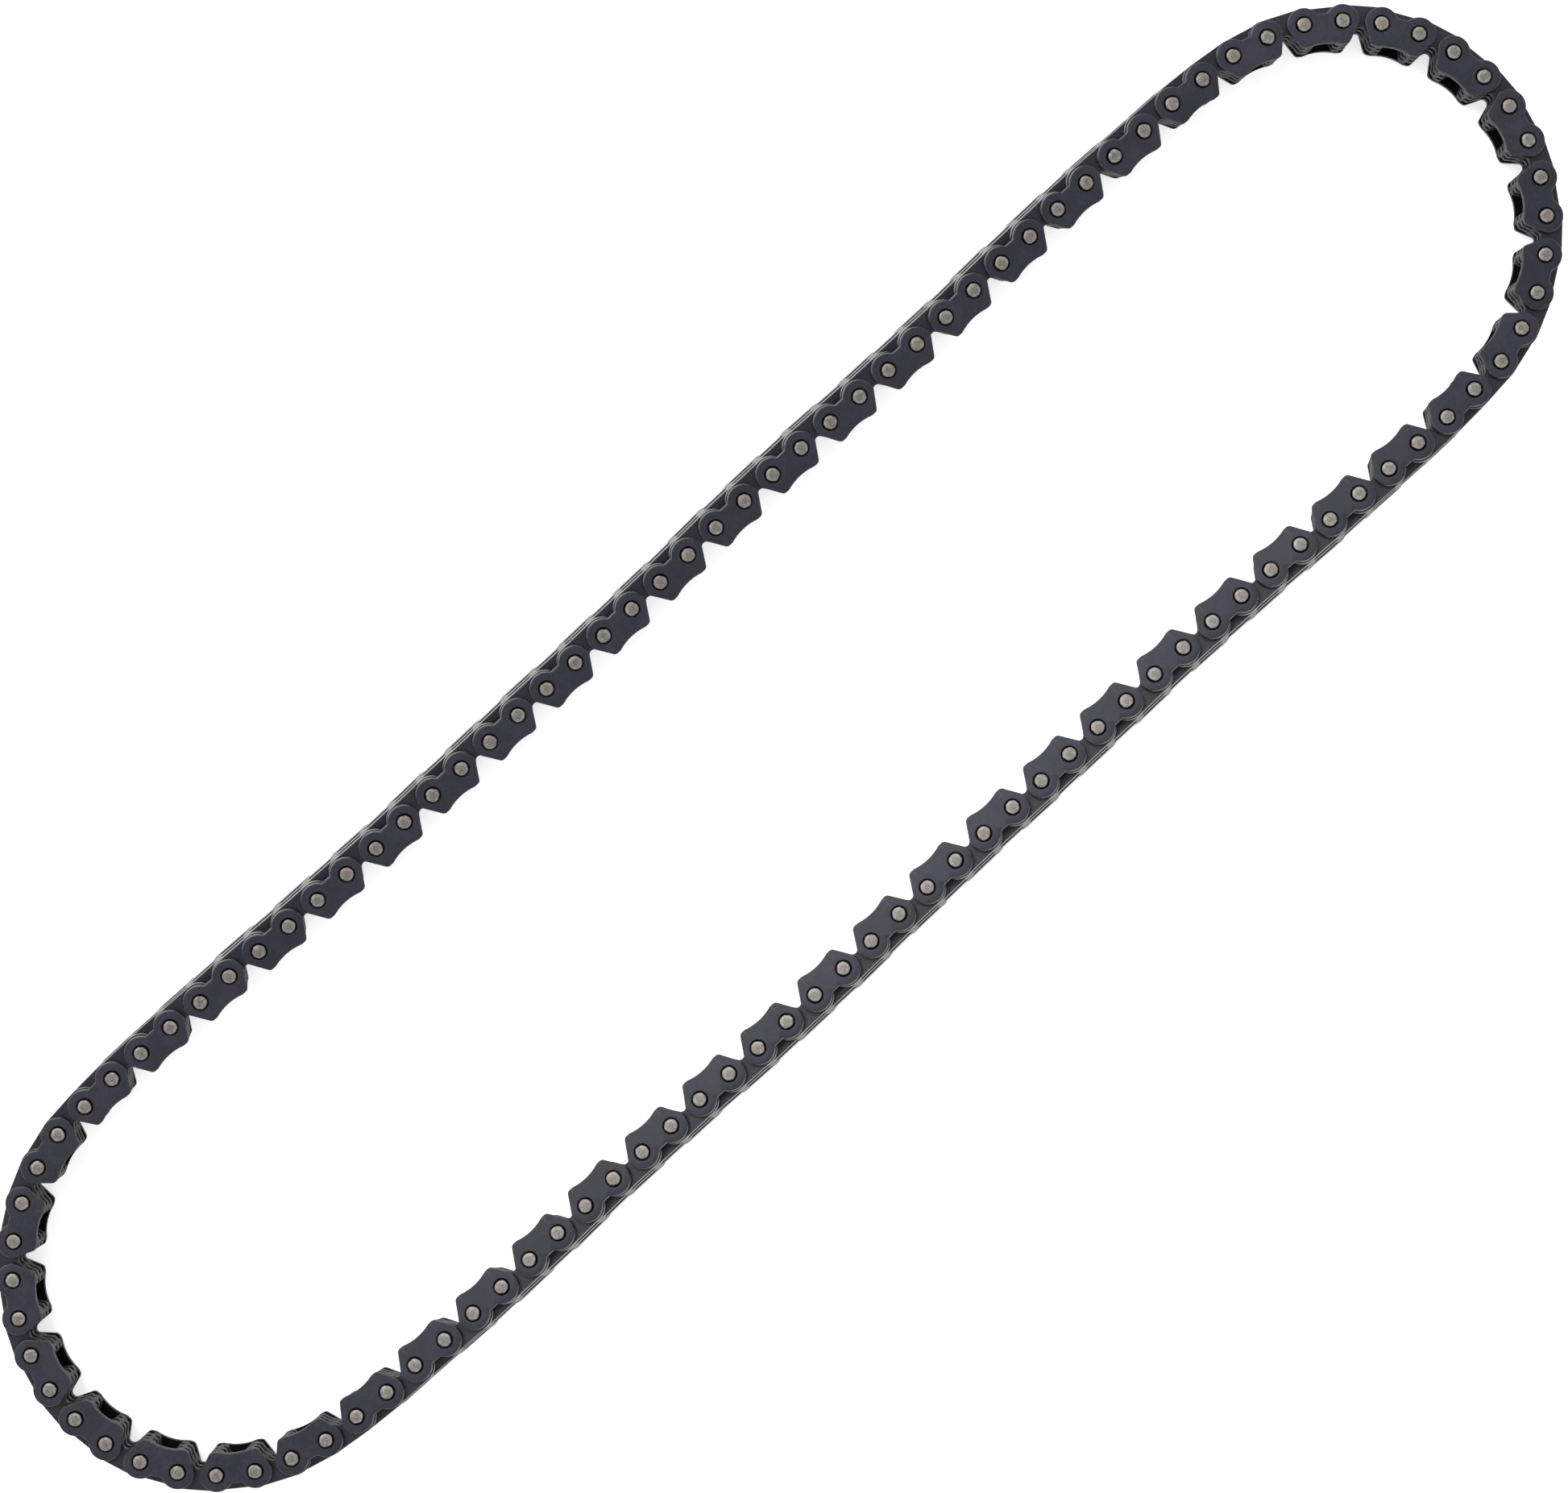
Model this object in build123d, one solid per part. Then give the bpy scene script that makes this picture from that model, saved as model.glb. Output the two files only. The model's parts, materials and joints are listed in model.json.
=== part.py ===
from build123d import *
import math
import os

# An endless inverted-tooth timing chain, lying flat on its side as a long loop.
# +X runs along the loop, +Y across it, +Z up and along the pins. Sizes are in millimetres, angles in degrees.

# ---------------------------------------------------------------- driving dimensions
pitch = 6.35  # between pin centres, a quarter inch
links_in_loop = 112
half_loop = links_in_loop // 2

# the lie of the loop: two straight runs joined by two round ends
full_turn_joints = 7  # joints of full turn on each side of an end's tip link
ease_turns = (9.0, 3.5, 2.5)  # smaller turns of the joints where an end runs out into a straight run
slack_waves = (  # gentle unevenness of the links' headings: degrees, waves in half a loop, phase
    (0.90, 1, -73.0),
    (0.50, 3, -114.0),
    (0.55, 4, -29.0),
    (0.85, 5, -44.0),
    (0.40, 6, -169.0),
    (0.60, 17, 75.0),
)

# the lean of the runs, whose upper edges tip towards the inside of the loop
lean_full = 12.6
lean_step = 1.4  # taken up from one link to the next
upright_links = 5  # on each side of a tip link, before the lean begins

# the laced plates, seven deep
plate_thickness = 1.10
layer_spacing = 1.22
guide_layers = (-3, 3)
guide_row_layers = (-1, 1)
inner_row_layers = (-2, 0, 2)

# the riveted pins
pin_radius = 1.22
pin_length = 9.0
pin_chamfer = 0.10
rivet_play = 0.01  # radial, pin to guide plate
running_play = 0.09  # radial, pin to toothed plate

# the toothed plate
toothed_end_radius = 2.90
toothed_depth = 3.68  # pin line to foot tips
crotch_height = 0.60  # pin line to the root of the gap between the feet
crotch_radius = 0.80
crotch_angle = 36.0
toothed_flank_angle = 33.0
toothed_foot_radius = 0.50

# the guide plate
guide_end_radius = 2.76
guide_depth = 3.75
guide_flank_angle = 31.6
guide_notch_depth = 1.54  # pin line to the bottom of the notch in the back
guide_arch_rise = 0.45
guide_foot_radius = 0.80
notch_corner_radius = 0.30
countersink = 0.24  # round the pin, on the outer face

flank_distance = 2.55  # from the end pin's centre to the outer flank, on both plates
edge_break = 0.09  # tumbled edges of both plates

# how the loop is divided into moving bodies
links_each_side_of_tip = 4  # these and the tip link move one by one
pieces_per_run = 3


# ---------------------------------------------------------------- the lie of the loop
def turn_before(link):
    """Turn of the joint between link - 1 and link, for links 1 to half_loop."""
    joints_from_tip = min(link, half_loop + 1 - link)
    joints_past_full = joints_from_tip - full_turn_joints
    if joints_past_full <= 0:
        return (90.0 - sum(ease_turns)) / full_turn_joints
    if joints_past_full <= len(ease_turns):
        return ease_turns[joints_past_full - 1]
    return 0.0


def slack(link):
    """Small uneven part of one link's heading, the same half a loop further on."""
    return sum(
        size * math.sin(math.radians(360.0 * waves * link / half_loop + phase))
        for size, waves, phase in slack_waves
    )


def heading(link):
    """Direction of a link in plan, counter-clockwise round the loop from the right-hand tip link."""
    half_turns, place = divmod(link, half_loop)
    turned = sum(turn_before(earlier) for earlier in range(1, place + 1))
    return 90.0 + 180.0 * half_turns + turned + slack(place)


def lean(link):
    """Lean of a link about its own length."""
    place = link % half_loop
    links_from_tip = min(place, half_loop - place)
    return min(lean_full, max(0.0, (links_from_tip - upright_links) * lean_step))


def resting_height():
    """Height of the pin line at which the leaning feet of the runs just touch the surface below."""
    outer_face = guide_layers[1] * layer_spacing + plate_thickness / 2
    tilt = math.radians(lean_full)
    return outer_face * math.cos(tilt) + guide_depth * math.sin(tilt)


def pin_points():
    """Centre of each pin. Pin n stands between link n - 1 and link n."""
    points = [Vector(0, 0, 0)]
    for link in range(links_in_loop):
        along = math.radians(heading(link))
        points.append(points[-1] + Vector(math.cos(along), math.sin(along), 0) * pitch)
    middle = (points[0] + points[half_loop]) * 0.5
    lift = Vector(0, 0, resting_height())
    return [point - middle + lift for point in points[:links_in_loop]]


pins = pin_points()


def link_place(link):
    """Where a link goes: its first pin at the origin, X to its second pin, Y to the teeth, Z along the pins."""
    along = math.radians(heading(link))
    tilt = math.radians(lean(link))
    inward = Vector(-math.sin(along), math.cos(along), 0)
    upward = Vector(0, 0, 1) * math.cos(tilt) + inward * math.sin(tilt)
    plane = Plane(origin=pins[link], x_dir=Vector(math.cos(along), math.sin(along), 0), z_dir=upward)
    return plane.location


# ---------------------------------------------------------------- the three kinds of piece
def flank_offset(depth, flank_angle):
    """How far beyond the end pin the outer flank stands, at this depth below the pin line."""
    angle = math.radians(flank_angle)
    return (flank_distance - depth * math.sin(angle)) / math.cos(angle)


def body_outline(end_radius, depth, flank_angle):
    """Two round ends and the block of the feet, cut off along the outer flanks."""
    ends = Circle(end_radius) + Pos(pitch, 0) * Circle(end_radius)
    web = Pos(pitch / 2, (depth - end_radius) / 2) * Rectangle(pitch, depth + end_radius)
    feet = Pos(pitch / 2, depth / 2) * Rectangle(pitch + 2 * end_radius, depth)
    high = -2 * end_radius
    beyond_top = flank_offset(high, flank_angle)
    beyond_tip = flank_offset(depth, flank_angle)
    wedge = make_face(
        Polyline(
            (-beyond_top, high),
            (pitch + beyond_top, high),
            (pitch + beyond_tip, depth),
            (-beyond_tip, depth),
            close=True,
        )
    )
    return (ends + web + feet) & wedge


def at_depth(outline, depth):
    """Corners of an outline at this depth below the pin line."""
    return [corner for corner in outline.vertices() if abs(corner.Y - depth) < 0.001]


def toothed_outline():
    outline = body_outline(toothed_end_radius, toothed_depth, toothed_flank_angle)
    angle = math.radians(crotch_angle)
    apex = crotch_height + crotch_radius - crotch_radius / math.sin(angle)
    reach = 2 * toothed_depth
    half_mouth = (reach - apex) * math.tan(angle)
    middle = pitch / 2
    outline -= make_face(
        Polyline((middle, apex), (middle + half_mouth, reach), (middle - half_mouth, reach), close=True)
    )
    outline = fillet(at_depth(outline, apex), crotch_radius)
    return fillet(at_depth(outline, toothed_depth), toothed_foot_radius)


def guide_outline():
    outline = body_outline(guide_end_radius, guide_depth, guide_flank_angle)
    notch_top = -2 * guide_end_radius
    notch = Pos(pitch / 2, (notch_top - guide_notch_depth) / 2) * Rectangle(pitch, notch_top + guide_notch_depth)
    lobes = Circle(guide_end_radius) + Pos(pitch, 0) * Circle(guide_end_radius)
    outline -= notch - lobes
    outline = fillet(at_depth(outline, -guide_notch_depth), notch_corner_radius)
    half_span = pitch / 2 - guide_foot_radius / 2
    arch_radius = (half_span**2 + guide_arch_rise**2) / (2 * guide_arch_rise)
    arch_centre = guide_depth - guide_arch_rise + arch_radius
    outline -= Pos(pitch / 2, arch_centre) * Circle(arch_radius)
    return fillet(at_depth(outline, guide_depth), guide_foot_radius)


def broken_edges(plate):
    """Chamfer of the outline and holes on both faces."""
    flat_faces = plate.faces().filter_by(Axis.Z)
    return chamfer(flat_faces.edges(), edge_break)


def toothed_plate():
    hole = Circle(pin_radius + running_play)
    outline = toothed_outline() - hole - Pos(pitch, 0) * hole
    return broken_edges(Pos(0, 0, -plate_thickness / 2) * extrude(outline, plate_thickness))


def guide_plate():
    """Guide plate with its outer face up."""
    plate = broken_edges(Pos(0, 0, -plate_thickness / 2) * extrude(guide_outline(), plate_thickness))
    hole_radius = pin_radius + rivet_play
    drill = Cylinder(hole_radius, 2 * plate_thickness)
    sink = Pos(0, 0, (plate_thickness - countersink) / 2) * Cone(hole_radius, hole_radius + countersink, countersink)
    cutter = drill + sink
    return plate - cutter - Pos(pitch, 0, 0) * cutter


def rivet_pin():
    pin = Cylinder(pin_radius, pin_length)
    return chamfer(pin.edges().filter_by(GeomType.CIRCLE), pin_chamfer)


toothed = toothed_plate()
guide_up = guide_plate()
guide_down = mirror(guide_up, about=Plane.XY)
pin = rivet_pin()


# ---------------------------------------------------------------- the links
def is_guide_link(link):
    """Links take turns: odd ones hold the guide plates and the pins, even ones are laced between them."""
    return link % 2 == 1


def in_layer(plate, layer):
    return Pos(0, 0, layer * layer_spacing) * plate


def guide_plates_of(link):
    low, high = guide_layers
    return [link_place(link) * in_layer(guide_down, low), link_place(link) * in_layer(guide_up, high)]


def pins_of(link):
    return [link_place(link) * pin, link_place(link) * Pos(pitch, 0, 0) * pin]


def toothed_plates_of(link):
    layers = guide_row_layers if is_guide_link(link) else inner_row_layers
    return [link_place(link) * in_layer(toothed, layer) for layer in layers]


# ---------------------------------------------------------------- the moving bodies
def end_bodies(name, tip_link):
    """One body for each link of an end, counter-clockwise."""
    first = tip_link - links_each_side_of_tip
    count = 2 * links_each_side_of_tip + 1
    return [(f"{name}_{number + 1:02d}", [(first + number) % links_in_loop]) for number in range(count)]


def run_bodies(name, tip_link_before):
    """A run's links in nearly equal pieces, counter-clockwise."""
    first = tip_link_before + links_each_side_of_tip + 1
    count = half_loop - 2 * links_each_side_of_tip - 1
    cuts = [first + round(count * piece / pieces_per_run) for piece in range(pieces_per_run + 1)]
    return [(f"{name}_{piece + 1}", list(range(cuts[piece], cuts[piece + 1]))) for piece in range(pieces_per_run)]


bodies = (
    end_bodies("right_end", 0)
    + run_bodies("upper_run", 0)
    + end_bodies("left_end", half_loop)
    + run_bodies("lower_run", half_loop)
)


def gather(links, pieces_of):
    return [piece for link in links for piece in pieces_of(link)]


def save(pieces, node):
    export_step(Compound(label=node, children=pieces), f"parts/{node}.step")


os.makedirs("parts", exist_ok=True)
for body, links in bodies:
    guide_links = [link for link in links if is_guide_link(link)]
    if guide_links:
        save(gather(guide_links, guide_plates_of), f"{body}_guide_plates")
        save(gather(guide_links, pins_of), f"{body}_pins")
    save(gather(links, toothed_plates_of), f"{body}_toothed_plates")
print(f"{len(bodies)} bodies, {links_in_loop} links, {pitch * links_in_loop:.1f} mm round the pin line")
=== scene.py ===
# %% [markdown]
# # An inverted-tooth timing chain
# A timing chain of this kind is a loop of stamped plates. Seven plates lie side by side on every pin,
# and the outer two, the guide plates, have no teeth and keep the chain on its wheel. The plates are
# blanked from strip steel, tumbled until their edges are soft, and blackened in hot oxide. The pins are
# bare steel and are riveted over on both faces. The CAD frame already holds every plate and pin in its
# true place, so this script reads the places from the frame and gives the pieces their finish.

import json
import math

import bmesh
import bpy
import numpy as np
from mathutils import Matrix, Vector, noise

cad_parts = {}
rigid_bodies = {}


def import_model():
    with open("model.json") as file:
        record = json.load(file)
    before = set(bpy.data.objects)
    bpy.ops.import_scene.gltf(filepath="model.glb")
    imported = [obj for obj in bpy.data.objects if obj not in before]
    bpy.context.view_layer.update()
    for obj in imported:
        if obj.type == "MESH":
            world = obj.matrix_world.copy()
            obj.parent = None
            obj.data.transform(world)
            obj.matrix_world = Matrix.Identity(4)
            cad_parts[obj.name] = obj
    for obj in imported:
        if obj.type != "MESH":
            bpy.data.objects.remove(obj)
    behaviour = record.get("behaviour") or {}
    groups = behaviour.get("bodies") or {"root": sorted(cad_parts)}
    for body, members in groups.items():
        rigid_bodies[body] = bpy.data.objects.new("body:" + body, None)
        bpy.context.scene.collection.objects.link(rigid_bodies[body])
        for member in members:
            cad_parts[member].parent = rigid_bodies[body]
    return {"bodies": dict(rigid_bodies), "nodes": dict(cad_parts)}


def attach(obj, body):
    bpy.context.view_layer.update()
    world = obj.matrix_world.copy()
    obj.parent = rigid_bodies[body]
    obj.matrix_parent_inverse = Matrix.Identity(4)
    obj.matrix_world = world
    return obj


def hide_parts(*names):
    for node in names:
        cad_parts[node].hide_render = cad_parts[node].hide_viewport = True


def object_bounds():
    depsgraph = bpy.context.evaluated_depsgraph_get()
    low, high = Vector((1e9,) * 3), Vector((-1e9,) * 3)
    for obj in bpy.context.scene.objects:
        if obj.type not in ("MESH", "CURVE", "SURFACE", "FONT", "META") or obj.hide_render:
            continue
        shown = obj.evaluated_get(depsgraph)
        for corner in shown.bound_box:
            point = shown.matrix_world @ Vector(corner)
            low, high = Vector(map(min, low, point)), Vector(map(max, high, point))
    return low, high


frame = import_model()
cad_low, cad_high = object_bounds()
MM = 0.001
cad_size = cad_high - cad_low
print("size in mm:", [round(side / MM, 1) for side in cad_size])

# %% [markdown]
# ## Camera
# The loop lies flat and is seen from straight above, turned so that it runs from corner to corner. A
# long lens from a little over half a metre keeps the pins nearly upright while the rims at the two ends
# still show some of their depth. The camera is placed from the frame's own box.

# %% Camera above the loop
LOOP_TURN = math.radians(42.31)
VIEW_WIDTH = 255.4 * MM
VIEW_DISTANCE = 575 * MM
SENSOR_WIDTH = 36.0
ASIDE = 0.72 * MM
ALONG_UP = 0.25 * MM

picture_right = Vector((math.cos(LOOP_TURN), -math.sin(LOOP_TURN), 0))
picture_up = Vector((math.sin(LOOP_TURN), math.cos(LOOP_TURN), 0))
loop_centre = (cad_low + cad_high) / 2
camera_spot = loop_centre + picture_right * ASIDE + picture_up * ALONG_UP
camera_spot.z = cad_high.z + VIEW_DISTANCE

camera_data = bpy.data.cameras.new("camera")
camera_data.sensor_width = SENSOR_WIDTH
camera_data.lens = SENSOR_WIDTH * VIEW_DISTANCE / VIEW_WIDTH
camera_data.clip_start = 0.01
camera_data.clip_end = 20
camera = bpy.data.objects.new("camera", camera_data)
camera.location = camera_spot
camera.rotation_euler = (0, 0, -LOOP_TURN)
bpy.context.scene.collection.objects.link(camera)
bpy.context.scene.camera = camera
print("lens in mm:", round(camera_data.lens, 1))

# %% [markdown]
# ## Floor and light
# Small dark parts show best on a white sweep under big soft lights. Here the sky gives an even white
# light, and one large soft box stands to one side of the loop, so that the leaning run nearer to it
# turns its plates away and stays darker than the far one. The floor is a plain pale sheet with a slight
# glow of its own, so that it stays white beside the dark steel.

# %% White floor
FLOOR_HALF = 3.0
FLOOR_TONE = (0.93, 0.93, 0.93, 1)
FLOOR_GLOW = 0.62


def paint_floor(floor):
    """Plain pale sheet with a very faint unevenness."""
    material = bpy.data.materials.new("pale_sheet")
    material.use_nodes = True
    nodes, links = material.node_tree.nodes, material.node_tree.links
    shader = nodes["Principled BSDF"]
    shader.inputs["Base Color"].default_value = FLOOR_TONE
    shader.inputs["Roughness"].default_value = 0.9
    shader.inputs["Specular IOR Level"].default_value = 0.0
    shader.inputs["Emission Color"].default_value = FLOOR_TONE
    shader.inputs["Emission Strength"].default_value = FLOOR_GLOW
    grain = nodes.new("ShaderNodeTexNoise")
    grain.inputs["Scale"].default_value = 300
    place = nodes.new("ShaderNodeTexCoord")
    bump = nodes.new("ShaderNodeBump")
    bump.inputs["Strength"].default_value = 0.02
    bump.inputs["Distance"].default_value = 0.0002
    links.new(place.outputs["Object"], grain.inputs["Vector"])
    links.new(grain.outputs["Fac"], bump.inputs["Height"])
    links.new(bump.outputs["Normal"], shader.inputs["Normal"])
    floor.data.materials.append(material)


sheet = bmesh.new()
bmesh.ops.create_grid(sheet, x_segments=1, y_segments=1, size=FLOOR_HALF)
floor_mesh = bpy.data.meshes.new("floor")
sheet.to_mesh(floor_mesh)
sheet.free()
floor = bpy.data.objects.new("floor", floor_mesh)
bpy.context.scene.collection.objects.link(floor)
paint_floor(floor)

# %% Sky and soft box
SKY = 0.80
BOX_POWER = 9.0
BOX_SIDE = 0.9
BOX_DISTANCE = 1.2
BOX_FROM_ZENITH = math.radians(42)

world = bpy.data.worlds.new("studio")
world.use_nodes = True
world.node_tree.nodes["Background"].inputs["Color"].default_value = (1, 1, 1, 1)
world.node_tree.nodes["Background"].inputs["Strength"].default_value = SKY
bpy.context.scene.world = world
bpy.context.scene.view_settings.view_transform = "Standard"


def soft_box(name, from_zenith, toward, power):
    """Square soft light that looks at the loop from this far off the zenith, on the side `toward`."""
    data = bpy.data.lights.new(name, "AREA")
    data.shape = "SQUARE"
    data.size = BOX_SIDE
    data.energy = power
    lamp = bpy.data.objects.new(name, data)
    direction = toward.normalized() * math.sin(from_zenith) + Vector((0, 0, math.cos(from_zenith)))
    lamp.location = loop_centre + direction * BOX_DISTANCE
    lamp.rotation_euler = direction.to_track_quat("Z", "Y").to_euler()
    bpy.context.scene.collection.objects.link(lamp)
    return lamp


soft_box("key_box", BOX_FROM_ZENITH, Vector((0, 1, 0)), BOX_POWER)

# %% [markdown]
# ## Finding every pin and plate
# A node of the frame holds all the pins, or all the plates, of one moving body, as loose triangles. Each
# solid is found on a merged copy by walking from face to face. A pin's axis is its longest direction,
# and two pins and the side on which the teeth lie say where a link is and how it leans.

# %% Split a node into its solids, and find each guide link
MERGE = 0.0005 * MM


def solids_of(node):
    """The points of each separate solid of a CAD node, one array for each."""
    copy = bmesh.new()
    copy.from_mesh(frame["nodes"][node].data)
    bmesh.ops.remove_doubles(copy, verts=copy.verts, dist=MERGE)
    seen = set()
    solids = []
    for first in copy.verts:
        if first in seen:
            continue
        seen.add(first)
        reached = [first]
        for point in reached:
            for edge in point.link_edges:
                other = edge.other_vert(point)
                if other not in seen:
                    seen.add(other)
                    reached.append(other)
        solids.append(np.array([point.co for point in reached]))
    copy.free()
    return solids


def pin_of(points):
    """Middle and upward axis of one pin."""
    spread = points - points.mean(0)
    axis = np.linalg.svd(spread, full_matrices=False)[2][0]
    axis = axis * np.sign(axis[2])
    along = points @ axis
    middle = points.mean(0) + axis * ((along.min() + along.max()) / 2 - along.mean())
    return Vector(middle), Vector(axis)


def link_frames(body):
    """A matrix for each guide link: middle between its pins, X along it, Y to the teeth, Z up the pins."""
    pins = [pin_of(points) for points in solids_of(f"{body}_pins")]
    places = []
    for points in solids_of(f"{body}_guide_plates"):
        middle = Vector(points.mean(0))
        near = sorted(pins, key=lambda pin: (middle - pin[0]).cross(pin[1]).length)[:2]
        upward = (near[0][1] + near[1][1]).normalized()
        if (middle - near[0][0]).dot(upward) < 0:
            continue
        centre = (near[0][0] + near[1][0]) / 2
        along = (near[1][0] - near[0][0]).normalized()
        inward = upward.cross(along)
        if inward.dot(loop_centre - centre) < 0:
            along, inward = -along, -inward
        turn = Matrix((along, inward, upward)).transposed().to_4x4()
        places.append(Matrix.Translation(centre) @ turn)
    return places


guide_bodies = [body for body in frame["bodies"] if f"{body}_pins" in frame["nodes"]]
link_places = {body: link_frames(body) for body in guide_bodies}
print("guide links:", sum(len(places) for places in link_places.values()))

# %% [markdown]
# ## Guide plates
# A guide plate is a flat blank with two round lobes, a notch between them on the back, and two feet with
# a shallow arch between. It could be kept as the CAD solid, but its edges there are plain chamfers. The
# punch rolls the upper edge over and the tumbling barrel rounds it further, and that soft rim is what
# catches the light, so the plate is made again here: half an outline swept from arcs, mirrored, raised
# to its thickness, and its rim laid on in a few insets that follow a quarter circle.

# %% Sizes of a guide plate
PITCH = 6.35
PLATE_THICKNESS = 1.10
GUIDE_LAYER = 3 * 1.22
LOBE_RADIUS = 2.76
GUIDE_DEPTH = 3.75
FLANK_ANGLE = math.radians(31.6)
FLANK_DISTANCE = 2.55
NOTCH_DEPTH = 1.54
NOTCH_CORNER = 0.30
ARCH_RISE = 0.45
FOOT_RADIUS = 0.80
HOLE_RADIUS = 1.235
SINK_WIDTH = 0.22
SINK_DEPTH = 0.42
RIM_ROLL = 0.17
RIM_BREAK = 0.09
HOLE_STEPS = 28
SINK_KNEE = (0.7, 0.4)  # where the sunk rim bends: share of its width and of its depth
DOUBLES = 1e-4


# %% Sweep half the outline
def sweep(outline, end, centre, degrees, steps):
    """Carries the outline's loose end round a centre and gives back its new loose end."""
    turned = bmesh.ops.spin(
        outline, geom=[end], cent=(*centre, 0), axis=(0, 0, 1), angle=math.radians(degrees), steps=steps
    )
    return turned["geom_last"][0]


def straight(outline, end, target):
    """Draws the outline straight on to a point."""
    corner = outline.verts.new((*target, 0))
    outline.edges.new((end, corner))
    return corner


def degrees_between(centre, start, finish):
    """Turn from one point to another about a centre, the short way round."""
    one = math.atan2(start[1] - centre[1], start[0] - centre[0])
    two = math.atan2(finish[1] - centre[1], finish[0] - centre[0])
    return math.degrees((two - one + math.pi) % (2 * math.pi) - math.pi)


def half_guide_outline(outline):
    """From the middle of the notch round the left-hand lobe and foot to the middle of the arch."""
    pin_x = -PITCH / 2
    # notch floor, and the small hollow corner where it meets the lobe
    corner_y = -NOTCH_DEPTH - NOTCH_CORNER
    corner_x = math.sqrt((LOBE_RADIUS + NOTCH_CORNER) ** 2 - corner_y**2)
    hollow = (pin_x + corner_x, corner_y)
    shrink = LOBE_RADIUS / (LOBE_RADIUS + NOTCH_CORNER)
    lobe_start = (pin_x + corner_x * shrink, corner_y * shrink)
    end = outline.verts.new((0, -NOTCH_DEPTH, 0))
    end = straight(outline, end, (hollow[0], -NOTCH_DEPTH))
    end = sweep(outline, end, hollow, degrees_between(hollow, (hollow[0], 0), lobe_start), 3)
    # round the lobe to the flank
    flank_turn = math.degrees(math.acos(FLANK_DISTANCE / LOBE_RADIUS) + math.pi - FLANK_ANGLE)
    start_turn = math.degrees(math.atan2(lobe_start[1], lobe_start[0] - pin_x))
    end = sweep(outline, end, (pin_x, 0), flank_turn - 360 - start_turn, 15)
    # straight flank and the outer corner of the foot
    foot_y = GUIDE_DEPTH - FOOT_RADIUS
    flank_reach = (FLANK_DISTANCE - FOOT_RADIUS - foot_y * math.sin(FLANK_ANGLE)) / math.cos(FLANK_ANGLE)
    outer_foot = (pin_x - flank_reach, foot_y)
    flank_foot = (
        outer_foot[0] - FOOT_RADIUS * math.cos(FLANK_ANGLE),
        outer_foot[1] + FOOT_RADIUS * math.sin(FLANK_ANGLE),
    )
    end = straight(outline, end, flank_foot)
    foot_turn = degrees_between(outer_foot, flank_foot, (outer_foot[0], GUIDE_DEPTH))
    end = sweep(outline, end, outer_foot, foot_turn, 5)
    # flat of the foot, its inner corner, and the arch
    half_span = PITCH / 2 - FOOT_RADIUS / 2
    arch_radius = (half_span**2 + ARCH_RISE**2) / (2 * ARCH_RISE)
    arch = (0, GUIDE_DEPTH - ARCH_RISE + arch_radius)
    inner_x = -math.sqrt((arch_radius + FOOT_RADIUS) ** 2 - (arch[1] - foot_y) ** 2)
    inner_foot = (inner_x, foot_y)
    end = straight(outline, end, (inner_x, GUIDE_DEPTH))
    lean_in = degrees_between(inner_foot, (inner_x, GUIDE_DEPTH), arch)
    end = sweep(outline, end, inner_foot, lean_in, 2)
    sweep(outline, end, arch, -lean_in, 4)


# %% [markdown]
# The rim is laid with inset_region. Each inset steps in and up along the quarter circle, so the plate's
# edge ends as a roll, and the flat in the middle stays one face until the holes are opened in it.

# %% Blank a plate from its outline
def rolled_rim(plate, face, radius, steps):
    """Lifts a flat face by a quarter round of this radius, and gives the flat back."""
    for step in range(steps):
        now, then = math.pi / 2 * step / steps, math.pi / 2 * (step + 1) / steps
        inset = radius * (math.cos(now) - math.cos(then))
        rise = radius * (math.sin(then) - math.sin(now))
        bmesh.ops.inset_region(
            plate, faces=[face], thickness=inset, depth=rise, use_boundary=True, use_even_offset=True
        )
    return face


def ring(plate, x, radius, height):
    """One circle of edges round a pin's place."""
    made = bmesh.ops.create_circle(
        plate, segments=HOLE_STEPS, radius=radius, matrix=Matrix.Translation((x, 0, height))
    )
    return list({edge for point in made["verts"] for edge in point.link_edges})


def open_holes(plate, upper_flat, lower_flat):
    """Cuts both pin holes through the two flats, sunk on the upper side."""
    top = PLATE_THICKNESS / 2
    borders = [upper_flat.edges[:], lower_flat.edges[:]]
    bmesh.ops.delete(plate, geom=[upper_flat, lower_flat], context="FACES_ONLY")
    for x in (-PITCH / 2, PITCH / 2):
        rings = [
            ring(plate, x, HOLE_RADIUS + SINK_WIDTH, top),
            ring(plate, x, HOLE_RADIUS + SINK_WIDTH * SINK_KNEE[0], top - SINK_DEPTH * SINK_KNEE[1]),
            ring(plate, x, HOLE_RADIUS, top - SINK_DEPTH),
            ring(plate, x, HOLE_RADIUS, -top),
        ]
        for upper, lower in zip(rings, rings[1:]):
            bmesh.ops.bridge_loops(plate, edges=upper + lower)
        borders[0] += rings[0]
        borders[1] += rings[-1]
    for border in borders:
        bmesh.ops.triangle_fill(plate, use_beauty=True, use_dissolve=False, edges=border)


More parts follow.
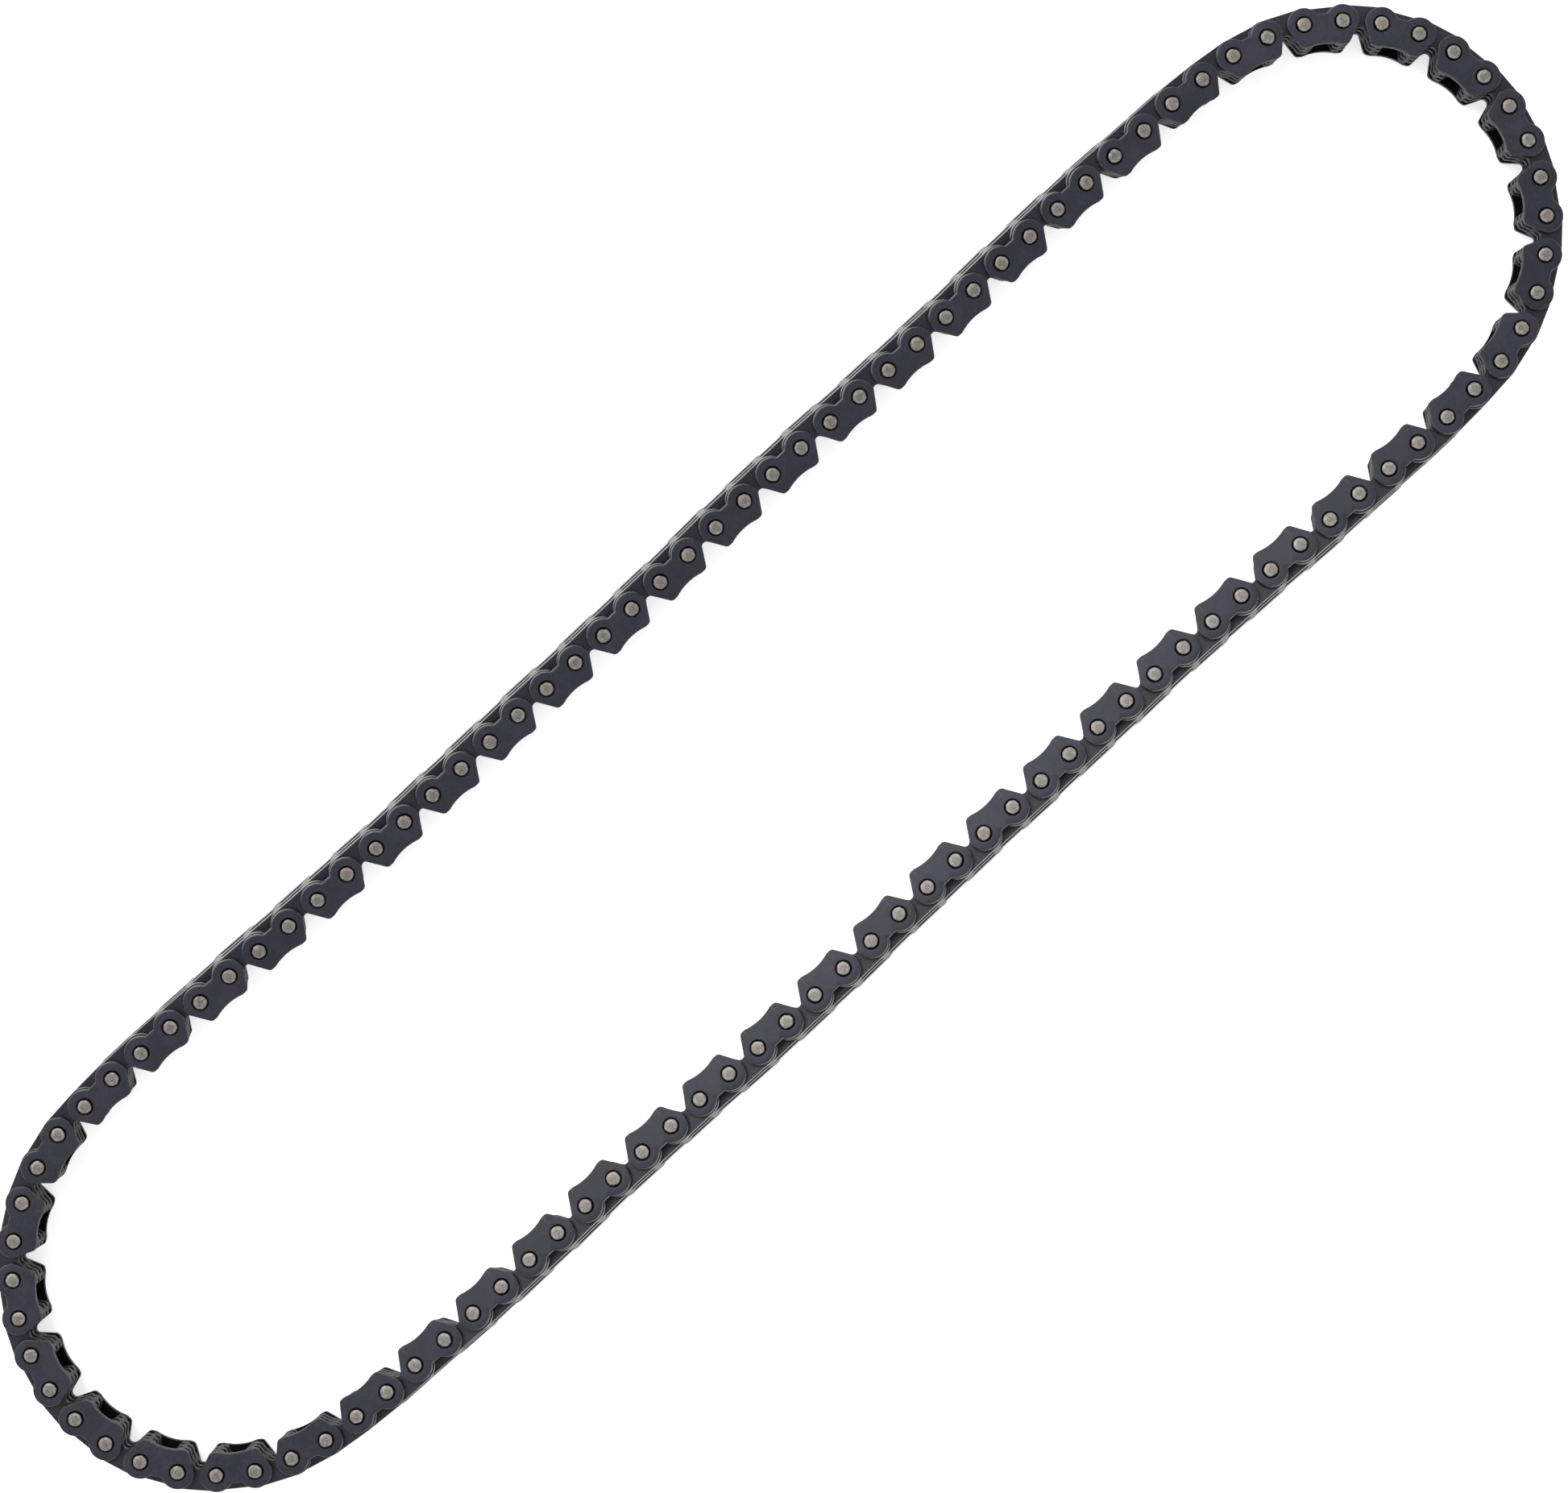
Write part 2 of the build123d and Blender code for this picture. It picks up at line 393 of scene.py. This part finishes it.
def guide_blank():
    """One guide plate, its outer face up, centred between its pins, in millimetres."""
    plate = bmesh.new()
    half_guide_outline(plate)
    bmesh.ops.mirror(plate, geom=plate.verts[:] + plate.edges[:], axis="X", merge_dist=DOUBLES)
    bmesh.ops.remove_doubles(plate, verts=plate.verts, dist=DOUBLES)
    flat = bmesh.ops.contextual_create(plate, geom=plate.edges[:])["faces"][0]
    wall = PLATE_THICKNESS - RIM_ROLL - RIM_BREAK
    raised = bmesh.ops.extrude_face_region(plate, geom=[flat])
    upper_points = [thing for thing in raised["geom"] if isinstance(thing, bmesh.types.BMVert)]
    bmesh.ops.translate(plate, verts=upper_points, vec=(0, 0, wall))
    bmesh.ops.recalc_face_normals(plate, faces=plate.faces)
    flats = sorted((face for face in plate.faces if len(face.verts) > 4), key=lambda face: face.normal.z)
    lower_flat = rolled_rim(plate, flats[0], RIM_BREAK, 2)
    upper_flat = rolled_rim(plate, flats[1], RIM_ROLL, 3)
    bmesh.ops.translate(plate, verts=plate.verts, vec=(0, 0, RIM_BREAK - PLATE_THICKNESS / 2))
    open_holes(plate, upper_flat, lower_flat)
    bmesh.ops.remove_doubles(plate, verts=plate.verts, dist=DOUBLES)
    bmesh.ops.recalc_face_normals(plate, faces=plate.faces)
    return plate


def open_edges(shape):
    """How many edges don't join exactly two faces. A closed shape has none."""
    return sum(len(edge.link_faces) != 2 for edge in shape.edges)


guide_plate = guide_blank()
print("guide plate:", len(guide_plate.faces), "faces,", open_edges(guide_plate), "open edges")

# %% [markdown]
# ## Riveted pins
# Each pin is a short bar of hardened steel. Its ends are spun over in a press, which leaves a shallow
# dome with a soft shoulder, never quite round, with small marks from the tool. A plain cylinder has none
# of this, so half a section is turned about the axis, and the two heads are then pushed about a little.

# %% Turn a pin and peen its heads
PIN_RADIUS = 1.22
PIN_HALF = 4.50
PIN_STEPS = 28
OFF_AXIS = 0.0001  # keeps the crown's point from lying on the axis while it is turned
HEAD_SECTION = ((1.0, 0.34), (0.985, 0.17), (0.93, 0.085), (0.80, 0.04), (0.52, 0.012), (0.0, 0.0))


def turned_pin():
    """One pin about the Z axis, in millimetres: head section turned and mirrored."""
    pin = bmesh.new()
    points = [
        pin.verts.new((OFF_AXIS + PIN_RADIUS * share, 0, PIN_HALF - drop)) for share, drop in HEAD_SECTION
    ]
    waist = pin.verts.new((PIN_RADIUS, 0, 0))
    section = [pin.edges.new(pair) for pair in zip([waist] + points, points)]
    bmesh.ops.spin(
        pin, geom=[waist] + points + section, cent=(0, 0, 0), axis=(0, 0, 1),
        angle=2 * math.pi, steps=PIN_STEPS, use_merge=True,
    )
    bmesh.ops.mirror(pin, geom=pin.verts[:] + pin.edges[:] + pin.faces[:], axis="Z", merge_dist=DOUBLES)
    bmesh.ops.remove_doubles(pin, verts=pin.verts, dist=10 * DOUBLES)
    bmesh.ops.recalc_face_normals(pin, faces=pin.faces)
    return pin


plain_pin = turned_pin()
print("pin:", len(plain_pin.faces), "faces,", open_edges(plain_pin), "open edges")

# %% [markdown]
# The heads of real rivets differ a little, so every pin gets its own slight swelling, read from a noise
# field at its own place. The same place always gives the same swelling. Each point also keeps how far it
# stands from the pin's axis, so that the finish can follow the rings that the riveting tool leaves and paint
# shade round the shoulder.

# %% Peen one pin's heads
HEAD_SWELL = 0.060
HEAD_DENT = 0.070
HEAD_ZONE = 0.40
SWELL_GRAIN = 1.1
DENT_GRAIN = 1.3
CROWN_SHARE = 0.35  # how much of a dent reaches the middle of the head
PEEN_SPACING = 977.0  # spreads the pins' places over the noise field


def peened(points, seed):
    """Pushes the head points of one pin in the XY plane and down from the crown."""
    for point in points:
        if abs(point.co.z) < PIN_HALF - HEAD_ZONE:
            continue
        flat_place = Vector((point.co.x, point.co.y, 0))
        swell = noise.noise(flat_place.normalized() * SWELL_GRAIN + seed)
        dent = 0.5 + 0.5 * noise.noise(flat_place * DENT_GRAIN + seed * 2)
        share = min(1.0, flat_place.length / PIN_RADIUS)
        narrowed = 1 - HEAD_SWELL * (0.5 + swell) * share
        point.co.x *= narrowed
        point.co.y *= narrowed
        drop = HEAD_DENT * dent * (CROWN_SHARE + (1 - CROWN_SHARE) * share)
        point.co.z -= math.copysign(drop, point.co.z)


# %% [markdown]
# ## Putting the pieces in place
# A plate or a pin is modelled once, and every copy is carried to its link by that link's matrix. All the
# guide plates of one moving body are one piece, and so are its pins, because that is how the frame moves
# them. The lower guide plate is the upper one turned over about its short axis, so its feet stay inside.

# %% Carry copies to the links
TO_METRES = Matrix.Scale(MM, 4)
TURNED_OVER = Matrix.Rotation(math.pi, 4, "Y")
TINT_NAME = "plate_tint"
AXIS_NAME = "from_axis"
SUNK_NAME = "sunk"
STACK_NAME = "faces_the_stack"
TINT_SPACING = 611.0
TINT_START = Vector((3.1, 0.7, 9.2))
SHARP_ANGLE = math.radians(38)
FLAT_FACE_WEIGHT = 90


def frozen(shape, name):
    """The shape as a mesh, ready to be copied."""
    mesh = bpy.data.meshes.new(name)
    shape.to_mesh(mesh)
    return mesh


def add_copy(joined, template, matrix):
    """Adds one copy of the template at a place and gives back its points."""
    before = len(joined.verts)
    joined.from_mesh(template)
    joined.verts.ensure_lookup_table()
    points = joined.verts[before:]
    bmesh.ops.transform(joined, matrix=matrix, verts=points)
    return points


def tint_at(place):
    """Steady pseudo-random number from 0 to 1 for a plate at this place."""
    return 0.5 + 0.5 * noise.noise(place * TINT_SPACING + TINT_START)


def finished(joined, name, body, node):
    """Makes the piece of a joined shape: smooth where it is round, riding its body, in the node's stead."""
    mesh = bpy.data.meshes.new(name)
    joined.to_mesh(mesh)
    joined.free()
    mesh.shade_smooth()
    mesh.set_sharp_from_angle(angle=SHARP_ANGLE)
    piece = bpy.data.objects.new(name, mesh)
    bpy.context.scene.collection.objects.link(piece)
    even = piece.modifiers.new("flat_faces_stay_flat", "WEIGHTED_NORMAL")
    even.keep_sharp = True
    even.weight = FLAT_FACE_WEIGHT
    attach(piece, body)
    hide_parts(node)
    return piece


# %% Mark the parts of a plate and a pin that the finishes treat differently
# The countersunk ring round each pin hole is marked so that the finish can paint shade into it.
sunk = guide_plate.verts.layers.float.new(SUNK_NAME)
for point in guide_plate.verts:
    aside = min((point.co.xy - Vector((x, 0))).length for x in (-PITCH / 2, PITCH / 2))
    point[sunk] = float(aside < HOLE_RADIUS + SINK_WIDTH * 0.9)
# The face towards the stack of plates is marked so that the finish can paint it as shade.
stack_side = guide_plate.verts.layers.float.new(STACK_NAME)
for point in guide_plate.verts:
    point[stack_side] = float(point.co.z < RIM_BREAK / 2 - PLATE_THICKNESS / 2)
guide_template = frozen(guide_plate, "guide_plate_blank")

from_axis = plain_pin.verts.layers.float.new(AXIS_NAME)
for point in plain_pin.verts:
    point[from_axis] = point.co.xy.length / PIN_RADIUS
print("marks:", SUNK_NAME, STACK_NAME, AXIS_NAME)


# %% One piece of guide plates and one of pins for each body
def guide_piece(body):
    """The upper and lower guide plates of every link of one body."""
    joined = bmesh.new()
    tint = joined.verts.layers.float.new(TINT_NAME)
    for place in link_places[body]:
        for turn in (Matrix.Identity(4), TURNED_OVER):
            lifted = turn @ Matrix.Translation((0, 0, GUIDE_LAYER))
            points = add_copy(joined, guide_template, place @ TO_METRES @ lifted)
            shade = tint_at((place @ lifted).translation * (1 if turn[0][0] > 0 else -1))
            for point in points:
                point[tint] = shade
    return finished(joined, f"{body}_rolled_guides", body, f"{body}_guide_plates")


def pin_piece(body):
    """Every riveted pin of one body, two to a guide link."""
    joined = bmesh.new()
    for place in link_places[body]:
        for x in (-PITCH / 2, PITCH / 2):
            spot = place @ TO_METRES @ Matrix.Translation((x, 0, 0))
            riveted = plain_pin.copy()
            peened(riveted.verts, spot.translation * PEEN_SPACING)
            template = frozen(riveted, "riveted_pin")
            riveted.free()
            add_copy(joined, template, spot)
            bpy.data.meshes.remove(template)
    return finished(joined, f"{body}_riveted_pins", body, f"{body}_pins")


guide_pieces = [guide_piece(body) for body in guide_bodies]
pin_pieces = [pin_piece(body) for body in guide_bodies]
tooth_nodes = [frame["nodes"][f"{body}_toothed_plates"] for body in frame["bodies"]]
print("guide pieces:", sum(len(piece.data.polygons) for piece in guide_pieces), "faces")
print("pin pieces:", sum(len(piece.data.polygons) for piece in pin_pieces), "faces")

# %% [markdown]
# ## Finishes
# Black oxide is a thin dark skin on steel: not a paint, so the faces stay satin, and slightly violet where
# the skin is thicker. Where the tumbling barrel and the guide rails have rubbed it, on the rims and the
# sheared edges, grey steel shows through in streaks, and most of all on the backs, which face out of the
# loop and slide along the rails. The lighter rims are partly that wear and partly a painted highlight where
# the rolled edge catches the light, and the countersinks and the faces towards the stack carry painted shade.
# All of it is made from noise on object coordinates, and the split between
# face, rim and edge is read from the object-space normal, because every plate lies nearly flat in the frame.

# %% Helpers for node materials
def new_finish(name):
    """An empty Principled material with its tree."""
    material = bpy.data.materials.new(name)
    material.use_nodes = True
    return material, material.node_tree, material.node_tree.nodes["Principled BSDF"]


def wire(tree, target, source):
    """Links an output to an input."""
    tree.links.new(source, target)


def grain(tree, place, scale, detail=2.0, stretch=(1, 1, 1)):
    """Noise on the piece's own coordinates: about `scale` blotches to the metre."""
    fit = tree.nodes.new("ShaderNodeMapping")
    fit.inputs["Scale"].default_value = stretch
    wire(tree, fit.inputs["Vector"], place)
    speckle = tree.nodes.new("ShaderNodeTexNoise")
    speckle.inputs["Scale"].default_value = scale
    speckle.inputs["Detail"].default_value = detail
    wire(tree, speckle.inputs["Vector"], fit.outputs["Vector"])
    return speckle.outputs["Fac"]


def spread(tree, value, low, high, to_low=0.0, to_high=1.0):
    """Stretches a value smoothly from one range to another."""
    node = tree.nodes.new("ShaderNodeMapRange")
    node.interpolation_type = "SMOOTHSTEP"
    node.inputs["From Min"].default_value = low
    node.inputs["From Max"].default_value = high
    node.inputs["To Min"].default_value = to_low
    node.inputs["To Max"].default_value = to_high
    wire(tree, node.inputs["Value"], value)
    return node.outputs["Result"]


def blend_colours(tree, share, one, two):
    """Colour `one` where share is 0 and `two` where it is 1. Either may be a colour or an output."""
    node = tree.nodes.new("ShaderNodeMix")
    node.data_type = "RGBA"
    wire(tree, node.inputs["Factor"], share)
    for socket, colour in ((node.inputs[6], one), (node.inputs[7], two)):
        if isinstance(colour, tuple):
            socket.default_value = (*colour, 1)
        else:
            wire(tree, socket, colour)
    return node.outputs[2]


def calculate(tree, operation, one, two=None):
    """One Math node. Either input may be a number or an output."""
    node = tree.nodes.new("ShaderNodeMath")
    node.operation = operation
    for socket, value in zip(node.inputs, (one, two)):
        if isinstance(value, (int, float)):
            socket.default_value = value
        elif value is not None:
            wire(tree, socket, value)
    return node.outputs["Value"]


def weigh(tree, one, one_share, two, two_share):
    """Sum of two values, each times its share."""
    first = calculate(tree, "MULTIPLY", one, one_share)
    second = calculate(tree, "MULTIPLY", two, two_share)
    return calculate(tree, "ADD", first, second)


def dimmed(colour, share):
    """The same colour at a share of its brightness."""
    return tuple(tone * share for tone in colour)


def attribute(tree, name):
    """A number that each point of a piece carries."""
    node = tree.nodes.new("ShaderNodeAttribute")
    node.attribute_name = name
    return node.outputs["Fac"]


def vector_math(tree, operation, one, two=None):
    """One Vector Math node on one vector or two."""
    node = tree.nodes.new("ShaderNodeVectorMath")
    node.operation = operation
    wire(tree, node.inputs[0], one)
    if two is not None:
        wire(tree, node.inputs[1], two)
    return node.outputs["Value" if operation == "DOT_PRODUCT" else "Vector"]


def faces_outward(tree, spot, normal):
    """1 where a surface faces away from the loop's long middle line, -1 where it faces the inside."""
    half_line = (cad_size.x - cad_size.y) / 2
    axes = tree.nodes.new("ShaderNodeSeparateXYZ")
    wire(tree, axes.inputs["Vector"], spot)
    nearest = calculate(tree, "MINIMUM", calculate(tree, "MAXIMUM", axes.outputs["X"], -half_line), half_line)
    from_line = tree.nodes.new("ShaderNodeCombineXYZ")
    wire(tree, from_line.inputs["X"], calculate(tree, "SUBTRACT", axes.outputs["X"], nearest))
    wire(tree, from_line.inputs["Y"], axes.outputs["Y"])
    outward = vector_math(tree, "NORMALIZE", from_line.outputs["Vector"])
    return vector_math(tree, "DOT_PRODUCT", outward, normal)


def roughen(tree, shader, height, distance, strength=1.0):
    """Bump of this real height in metres."""
    node = tree.nodes.new("ShaderNodeBump")
    node.inputs["Distance"].default_value = distance
    node.inputs["Strength"].default_value = strength
    wire(tree, node.inputs["Height"], height)
    wire(tree, shader.inputs["Normal"], node.outputs["Normal"])


# %% Blackened steel of the plates
# The rim tones stand partly for steel worn bare and partly for a painted highlight where the rolled edge
# catches the light.
GUIDE_TONES = {
    "thin skin": (0.020, 0.019, 0.037),
    "thick skin": (0.007, 0.007, 0.017),
    "worn and highlit rim": (0.085, 0.085, 0.092),
    "sheared edge": (0.033, 0.033, 0.033),
    "polished back": (0.20, 0.198, 0.195),
}
TOOTHED_TONES = {
    "thin skin": (0.014, 0.012, 0.025),
    "thick skin": (0.005, 0.004, 0.012),
    "worn and highlit rim": (0.085, 0.085, 0.090),
    "sheared edge": (0.032, 0.033, 0.032),
    "polished back": (0.34, 0.335, 0.328),
}
# Painted shade: near-black for the countersunk ring round each pin, where the pin head shades the recess.
SINK_PAINTED_SHADE = (0.022, 0.019, 0.020)
# Painted shade: near-black for the guide plate's face towards the stack, which lies in shade between the
# plates.
STACK_PAINTED_SHADE = (0.006, 0.006, 0.006)


def edge_zones(tree, place):
    """Where a surface is edge at all, where it is upright wall, and where it is a back: 0 to 1 each."""
    upright = tree.nodes.new("ShaderNodeSeparateXYZ")
    wire(tree, upright.inputs["Vector"], place.outputs["Normal"])
    steepness = calculate(tree, "ABSOLUTE", upright.outputs["Z"])
    edge = spread(tree, steepness, 0.955, 0.86)
    wall = spread(tree, steepness, 0.55, 0.35)
    back = spread(tree, faces_outward(tree, place.outputs["Object"], place.outputs["Normal"]), 0.35, 0.75)
    return edge, wall, back


def oxide_skin(tree, spot, mottle, tones, own_plates):
    """Black oxide, thinner in patches, and a little different from plate to plate on plates made here."""
    skin_share = weigh(tree, grain(tree, spot, 240, 3), 0.55, mottle, 0.45)
    if own_plates:
        skin_share = weigh(tree, skin_share, 0.75, attribute(tree, TINT_NAME), 0.25)
    return blend_colours(tree, spread(tree, skin_share, 0.32, 0.68), tones["thick skin"], tones["thin skin"])


def worn_and_highlit_edge(tree, spot, mottle, streaks, wall, back, tones):
    """Rims lighter from wear and a painted highlight, and walls streaked by the punch, brighter on the backs.
    """
    bands = grain(tree, spot, 2600, 2, (0.08, 0.08, 1))
    sheared, polished = tones["sheared edge"], tones["polished back"]
    bright = blend_colours(tree, back, sheared, polished)
    dull = blend_colours(tree, back, dimmed(sheared, 0.3), dimmed(polished, 0.6))
    shear_share = calculate(tree, "MULTIPLY", spread(tree, streaks, 0.35, 0.7), spread(tree, bands, 0.3, 0.6))
    shear = blend_colours(tree, shear_share, dull, bright)
    # Lighter rim: partly wear, partly a painted highlight on the rolled edge.
    rim_wear_and_highlight = tones["worn and highlit rim"]
    rim = blend_colours(tree, spread(tree, mottle, 0.40, 0.62), dimmed(rim_wear_and_highlight, 0.4), rim_wear_and_highlight)
    return blend_colours(tree, wall, rim, shear)


def blackened_steel(name, tones, own_plates):
    """Satin black oxide on the faces, rims lighter from wear and a painted highlight, streaked sheared edges,
    and painted shade in the countersinks and on the faces towards the stack.
    """
    material, tree, shader = new_finish(name)
    place = tree.nodes.new("ShaderNodeTexCoord")
    spot = place.outputs["Object"]
    edge, wall, back = edge_zones(tree, place)
    mottle = grain(tree, spot, 1900, 3)
    salt = grain(tree, spot, 11000, 2)
    streaks = grain(tree, spot, 5200, 3, (1, 1, 0.12))
    skin = oxide_skin(tree, spot, mottle, tones, own_plates)
    colour = blend_colours(tree, edge, skin, worn_and_highlit_edge(tree, spot, mottle, streaks, wall, back, tones))
    satin = spread(tree, mottle, 0.3, 0.7, 0.36, 0.50)
    rough = calculate(tree, "ADD", satin, calculate(tree, "MULTIPLY", wall, 0.14))
    metal = calculate(tree, "MULTIPLY", edge, 0.30)
    if own_plates:
        sink_shade, inner = attribute(tree, SUNK_NAME), attribute(tree, STACK_NAME)
        # Painted shade: the countersinks are darkened and roughened to stand in for the pin heads' shadow in
        # them.
        colour = blend_colours(tree, sink_shade, colour, SINK_PAINTED_SHADE)
        # Painted shade: the face towards the stack is made near-black, rough and metallic so it reflects
        # little, standing in for the shade between plates.
        colour = blend_colours(tree, inner, colour, STACK_PAINTED_SHADE)
        shaded = calculate(tree, "MAXIMUM", sink_shade, inner)
        rough = calculate(tree, "ADD", rough, calculate(tree, "MULTIPLY", shaded, 0.35))
        metal = calculate(tree, "MAXIMUM", metal, calculate(tree, "MULTIPLY", inner, 0.85))
    wire(tree, shader.inputs["Base Color"], colour)
    wire(tree, shader.inputs["Roughness"], rough)
    wire(tree, shader.inputs["Metallic"], metal)
    shader.inputs["Specular IOR Level"].default_value = 0.42
    roughen(tree, shader, weigh(tree, salt, 0.5, streaks, edge), 3.0e-6)
    return material


guide_finish = blackened_steel("blackened_guide_plate", GUIDE_TONES, True)
tooth_finish = blackened_steel("blackened_toothed_plate", TOOTHED_TONES, False)
print("plate finishes:", len(guide_finish.node_tree.nodes), "and", len(tooth_finish.node_tree.nodes), "nodes")


# %% Bare steel of the pins
DULL_STEEL = (0.17, 0.155, 0.143)
BARE_STEEL = (0.40, 0.385, 0.362)
RUST_BLOOM = (0.26, 0.225, 0.205)
# Painted shade: near-black for the ragged ring round each head's shoulder, where the gap beside the pin lies
# in shade.
SHOULDER_PAINTED_SHADE = (0.022, 0.020, 0.020)


def riveted_steel():
    """Dull bare steel, mottled by the riveting tool, greyer in the middle of the head, with painted shade in
    a ragged dark ring round the shoulder.
    """
    material, tree, shader = new_finish("riveted_steel")
    place = tree.nodes.new("ShaderNodeTexCoord")
    spot = place.outputs["Object"]
    mottle = grain(tree, spot, 2600, 4)
    speck = grain(tree, spot, 9000, 2)
    ring = spread(tree, attribute(tree, AXIS_NAME), 0.30, 0.85)
    blotch = weigh(tree, ring, 0.20, mottle, 0.90)
    colour = blend_colours(tree, spread(tree, blotch, 0.30, 0.80), DULL_STEEL, BARE_STEEL)
    rust = spread(tree, grain(tree, spot, 1300, 1), 0.48, 0.66)
    colour = blend_colours(tree, rust, colour, RUST_BLOOM)
    ragged = calculate(tree, "MULTIPLY", grain(tree, spot, 1500, 2), 0.34)
    # Painted shade: a ragged near-black ring round the shoulder of each head, standing in for the shaded gap
    # at the countersink.
    shoulder = spread(tree, calculate(tree, "ADD", attribute(tree, AXIS_NAME), ragged), 1.01, 1.15)
    colour = blend_colours(tree, shoulder, colour, SHOULDER_PAINTED_SHADE)
    wire(tree, shader.inputs["Base Color"], colour)
    wire(tree, shader.inputs["Roughness"], spread(tree, mottle, 0.3, 0.7, 0.50, 0.66))
    shader.inputs["Metallic"].default_value = 1.0
    marks = calculate(tree, "ADD", mottle, calculate(tree, "MULTIPLY", speck, 0.4))
    roughen(tree, shader, marks, 9.0e-6)
    return material


pin_finish = riveted_steel()


def paint(piece, finish):
    """Gives a whole piece one finish."""
    piece.data.materials.clear()
    piece.data.materials.append(finish)


for piece in guide_pieces:
    paint(piece, guide_finish)
for piece in pin_pieces:
    paint(piece, pin_finish)
for node in tooth_nodes:
    node.material_slots[0].link = "OBJECT"
    node.material_slots[0].material = tooth_finish
print("finishes:", guide_finish.name, tooth_finish.name, pin_finish.name)
